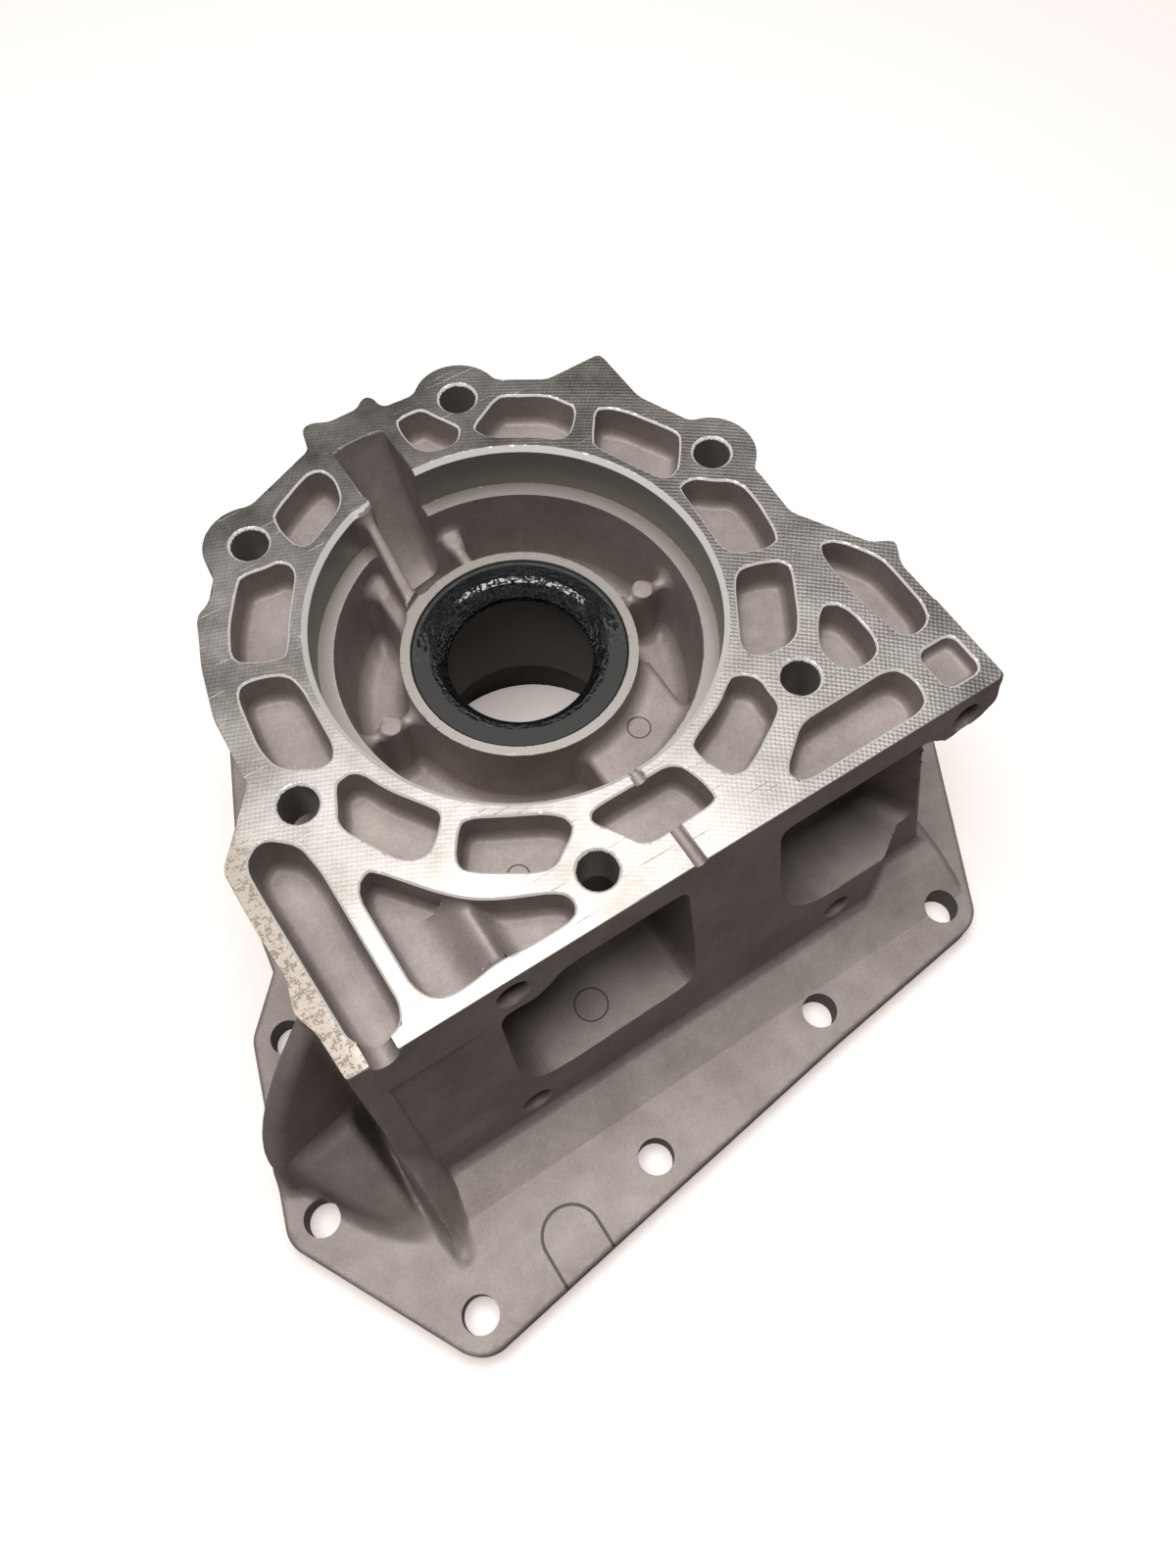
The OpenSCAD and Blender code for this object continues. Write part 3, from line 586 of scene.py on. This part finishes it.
bump = node(tree, "ShaderNodeBump", {"Strength": 0.65, "Distance": 0.00004}, {"Height": relief})
tone = node(tree, "ShaderNodeValToRGB", {}, {"Fac": smear})
tone.color_ramp.elements[0].position, tone.color_ramp.elements[1].position = 0.35, 0.65
tone.color_ramp.elements[0].color = linear("7D7873")
tone.color_ramp.elements[1].color = linear("A6A19C")
dull = node(tree, "ShaderNodeMath", {"operation": "MAXIMUM", 1: 0.8}, {0: pits}).outputs[0]
dull = node(tree, "ShaderNodeMath", {"operation": "MULTIPLY"}, {0: dull, 1: edge}).outputs[0]
worn = node(tree, "ShaderNodeMix", {"data_type": "RGBA", 7: linear("A79A8C")}, {
    0: dull, 6: tone.outputs["Color"]})
metallic = node(tree, "ShaderNodeMapRange", {"To Min": 1.0, "To Max": 0.45}, {
    "Value": edge}).outputs["Result"]
rough = node(tree, "ShaderNodeMapRange", {
    "From Min": 0.3, "From Max": 0.7, "To Min": 0.33, "To Max": 0.43}, {"Value": smear}).outputs["Result"]
rough = node(tree, "ShaderNodeMath", {"operation": "MULTIPLY_ADD", 1: 0.12}, {
    0: edge, 2: rough}).outputs[0]
tree.links.new(metallic, skin.inputs["Metallic"])
tree.links.new(worn.outputs[2], skin.inputs["Base Color"])
tree.links.new(rough, skin.inputs["Roughness"])
tree.links.new(bump.outputs["Normal"], skin.inputs["Normal"])

# Finish of the broken edges: metal freshly cut by the deburring tool, round the deck's outline, pockets
# and holes. Its light colour is partly the fresh metal's own and partly painted highlight, which stands
# for the light that these narrow edges catch and draws a thin bright line round each.
deburred_edge_and_highlight, tree, skin = material("aluminium_edge_deburred_and_painted_highlight")
skin.inputs["Base Color"].default_value = linear("E2DDD8")
skin.inputs["Metallic"].default_value = 0.25
skin.inputs["Roughness"].default_value = 0.35

# Finish of the bores, the ledge, the hub's top and the flange face: turned, with a soft even sheen.
# The tool's rings are drawn 0.7 mm apart, about three times the real feed.
turned, tree, skin = material("aluminium_turned")
place = node(tree, "ShaderNodeTexCoord").outputs["Object"]
lathe = node(tree, "ShaderNodeTexWave", {
    "wave_type": "RINGS", "rings_direction": "Z", "Scale": 450.0, "Distortion": 0.5, "Detail": 2.0}, {
        "Vector": place}).outputs["Fac"]
bump = node(tree, "ShaderNodeBump", {"Strength": 0.25, "Distance": 0.00003}, {"Height": lathe})
skin.inputs["Base Color"].default_value = linear("948E87")
skin.inputs["Metallic"].default_value = 0.45
skin.inputs["Roughness"].default_value = 0.45
tree.links.new(bump.outputs["Normal"], skin.inputs["Normal"])

# Each face gets its finish by where its middle lies and where it faces. Turned: the register bore and
# its ledge, the hub's top, the bores, the flange face and the bolt holes. Broken edge, with its painted
# highlight: what slopes away from the deck within 0.7 mm, and the register bore's chamfer. Milled: the
# deck. Cast: all else.
for m in (cast, milled, turned, deburred_edge_and_highlight):
    mesh.materials.append(m)
x, y, z = centre.T
r = np.hypot(x, y)
up, side = facing[:, 2] > 0.97, np.abs(facing[:, 2]) < 0.25
bored = side & (z > register_z) & (np.abs(r - register_r) < 0.2)
bored |= (z > deck_z - chamfer - 0.1) & (r > register_r - 0.2) & (r < register_r + chamfer + 0.2)
bored |= up & (np.abs(z - register_z) < 0.2) | up & (np.abs(z - hub_z) < 0.2) & (r < hub_r + 0.8)
for bore in (pilot_r, seal_r, bore_r):
    bored |= side & (np.abs(r - bore) < 0.2)
bored |= (facing[:, 2] < -0.98) & (z < 0.1)
for a, b in deck_holes:
    bored |= side & (z > 86) & (np.hypot(x - a, y - b) < hole_r + 0.5)
for a, b in flange_holes:
    bored |= side & (z < flange_z) & (np.hypot(x - a, y - b) < hole_r + 0.5)
# rim: the broken edges, which get the deburred finish with its painted highlight
rim = ~up & (z > deck_z - 0.7)
rim |= ~up & (z > deck_z - chamfer - 0.1) & (r > register_r - 0.1) & (r < register_r + chamfer + 0.4)
deck = up & (z > deck_z - 0.1) | (corners[:, :, 2].min(axis=1) > deck_z - 0.1)
finish = np.where(deck, 1, np.where(rim, 3, np.where(bored, 2, 0)))
mesh.polygons.foreach_set("material_index", finish.astype(np.int32))
mesh.update()
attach(housing, "root")
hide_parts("housing")

# Shaft seal: a steel shell covered in black nitrile rubber, and the lip moulded onto it, pressed into
# the hub. The rubber is satin where it is dry. Old grease on the lip and round the far side is nearly
# black, and glints in streaks that run round the seal, 0.9 mm wide and 2 mm or more long.
grease_side = (0.47, 0.88, 0)           # from the bore's middle to the middle of the greasy side
grease_ends = (0.0316, 0.0302)          # metres from the middle, from where it starts to full
for name, colour, dry in (("seal_case", "1C1B19", 0.6), ("seal_lip", "0B0C0E", 0.3)):
    rubber, tree, skin = material("nitrile_moulded_" + name[5:])
    place = node(tree, "ShaderNodeTexCoord").outputs["Object"]
    flat = node(tree, "ShaderNodeVectorMath", {"operation": "MULTIPLY", 1: (1, 1, 0)}, {
        0: place}).outputs[0]
    toward = node(tree, "ShaderNodeVectorMath", {"operation": "NORMALIZE"}, {0: flat}).outputs[0]
    radius = node(tree, "ShaderNodeVectorMath", {"operation": "LENGTH"}, {0: flat}).outputs["Value"]
    outward = node(tree, "ShaderNodeMath", {"operation": "MULTIPLY", 1: 1100.0}, {0: radius}).outputs[0]
    outward = node(tree, "ShaderNodeCombineXYZ", {}, {"Z": outward}).outputs[0]
    around = node(tree, "ShaderNodeVectorMath", {"operation": "MULTIPLY_ADD", 1: (14, 14, 0)}, {
        0: toward, 2: outward}).outputs[0]
    ripple = node(tree, "ShaderNodeTexNoise", {"Scale": 1.0, "Detail": 5.0, "Roughness": 0.6}, {
        "Vector": around}).outputs["Fac"]
    streak = node(tree, "ShaderNodeMapRange", {"From Min": 0.46, "From Max": 0.6}, {
        "Value": ripple}).outputs["Result"]
    far_side = node(tree, "ShaderNodeVectorMath", {"operation": "DOT_PRODUCT", 1: grease_side}, {
        0: toward}).outputs["Value"]
    ragged = node(tree, "ShaderNodeMath", {"operation": "MULTIPLY_ADD", 1: 1.4}, {
        0: ripple, 2: far_side}).outputs[0]
    upper = node(tree, "ShaderNodeMapRange", {
        "From Min": 0.75, "From Max": 1.0, "To Min": 0.0 if name == "seal_case" else 0.6}, {
            "Value": ragged}).outputs["Result"]
    inner = node(tree, "ShaderNodeMapRange", {
        "From Min": grease_ends[0], "From Max": grease_ends[1]}, {"Value": radius}).outputs["Result"]
    greasy = node(tree, "ShaderNodeMath", {"operation": "MULTIPLY"}, {0: upper, 1: inner}).outputs[0]
    bump = node(tree, "ShaderNodeBump", {"Distance": 0.0004}, {"Strength": greasy, "Height": streak})
    rough = node(tree, "ShaderNodeMapRange", {"To Min": dry, "To Max": 0.1}, {"Value": greasy})
    gloss = node(tree, "ShaderNodeMapRange", {"To Min": 0.5, "To Max": 1.0}, {"Value": greasy})
    shade = node(tree, "ShaderNodeMix", {"data_type": "RGBA", 6: linear(colour), 7: linear("0E1215")}, {
        0: greasy})
    tree.links.new(shade.outputs[2], skin.inputs["Base Color"])
    tree.links.new(rough.outputs["Result"], skin.inputs["Roughness"])
    tree.links.new(gloss.outputs["Result"], skin.inputs["Specular IOR Level"])
    tree.links.new(bump.outputs["Normal"], skin.inputs["Normal"])
    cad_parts[name].data.materials.clear()
    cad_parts[name].data.materials.append(rubber)

# Floor: matt white paper, lit until it fades into the background, with the part's soft shadow. It
# throws less light back than the camera sees, so that the part's undersides stay dark.
mesh = bpy.data.meshes.new("floor")
mesh.from_pydata([(-3, -3, 0), (3, -3, 0), (3, 3, 0), (-3, 3, 0)], [], [(0, 1, 2, 3)])
floor = bpy.data.objects.new("floor", mesh)
scene.collection.objects.link(floor)
paper, tree, skin = material("paper_white")
skin.inputs["Base Color"].default_value = linear("E9E4E1")
skin.inputs["Roughness"].default_value = 0.9
skin.inputs["Specular IOR Level"].default_value = 0.0
skin.inputs["Emission Color"].default_value = linear("FFEFE9")
skin.inputs["Emission Strength"].default_value = 0.3
dim = node(tree, "ShaderNodeBsdfDiffuse", {"Color": linear("807B78")})
seen = node(tree, "ShaderNodeLightPath").outputs["Is Camera Ray"]
both = node(tree, "ShaderNodeMixShader", {}, {0: seen, 1: dim.outputs["BSDF"], 2: skin.outputs["BSDF"]})
tree.links.new(both.outputs["Shader"], tree.nodes["Material Output"].inputs["Surface"])
mesh.materials.append(paper)

# Light: one large soft box overhead, a little behind the part, which gives the deck its sheen, and a
# dim pale room that keeps the recesses from going black
world = bpy.data.worlds.new("studio")
scene.world = world
world.use_nodes = True
tree = world.node_tree
tree.nodes["Background"].inputs["Color"].default_value = linear("C9C4C1")
tree.nodes["Background"].inputs["Strength"].default_value = 0.07
box = bpy.data.lights.new("soft_box", "AREA")
box.shape = "RECTANGLE"
box.size, box.size_y = 1.05, 0.8    # metres
box.energy = 19                     # watts
lamp = bpy.data.objects.new("soft_box", box)
lamp.location = (-0.07, 0.06, 1.2)
lamp.rotation_euler = (math.radians(-3), math.radians(1), 0)
scene.collection.objects.link(lamp)

# Camera: at the photograph's angle and distance, worked out from the round openings, the bolt holes
# and the straight edges that it shows
camera = bpy.data.objects.new("camera", bpy.data.cameras.new("camera"))
scene.collection.objects.link(camera)
camera.data.sensor_fit = "VERTICAL"
camera.data.sensor_height = 36.0
camera.data.lens = 28.125
camera.matrix_world = Matrix((
    (0.839879, 0.488755, -0.236056, -0.087690),
    (-0.542774, 0.756176, -0.365505, -0.172948),
    (-0.000142, 0.435105, 0.900380, 0.392108),
    (0.0, 0.0, 0.0, 1.0),
))
scene.camera = camera
scene.view_settings.view_transform = "Standard"
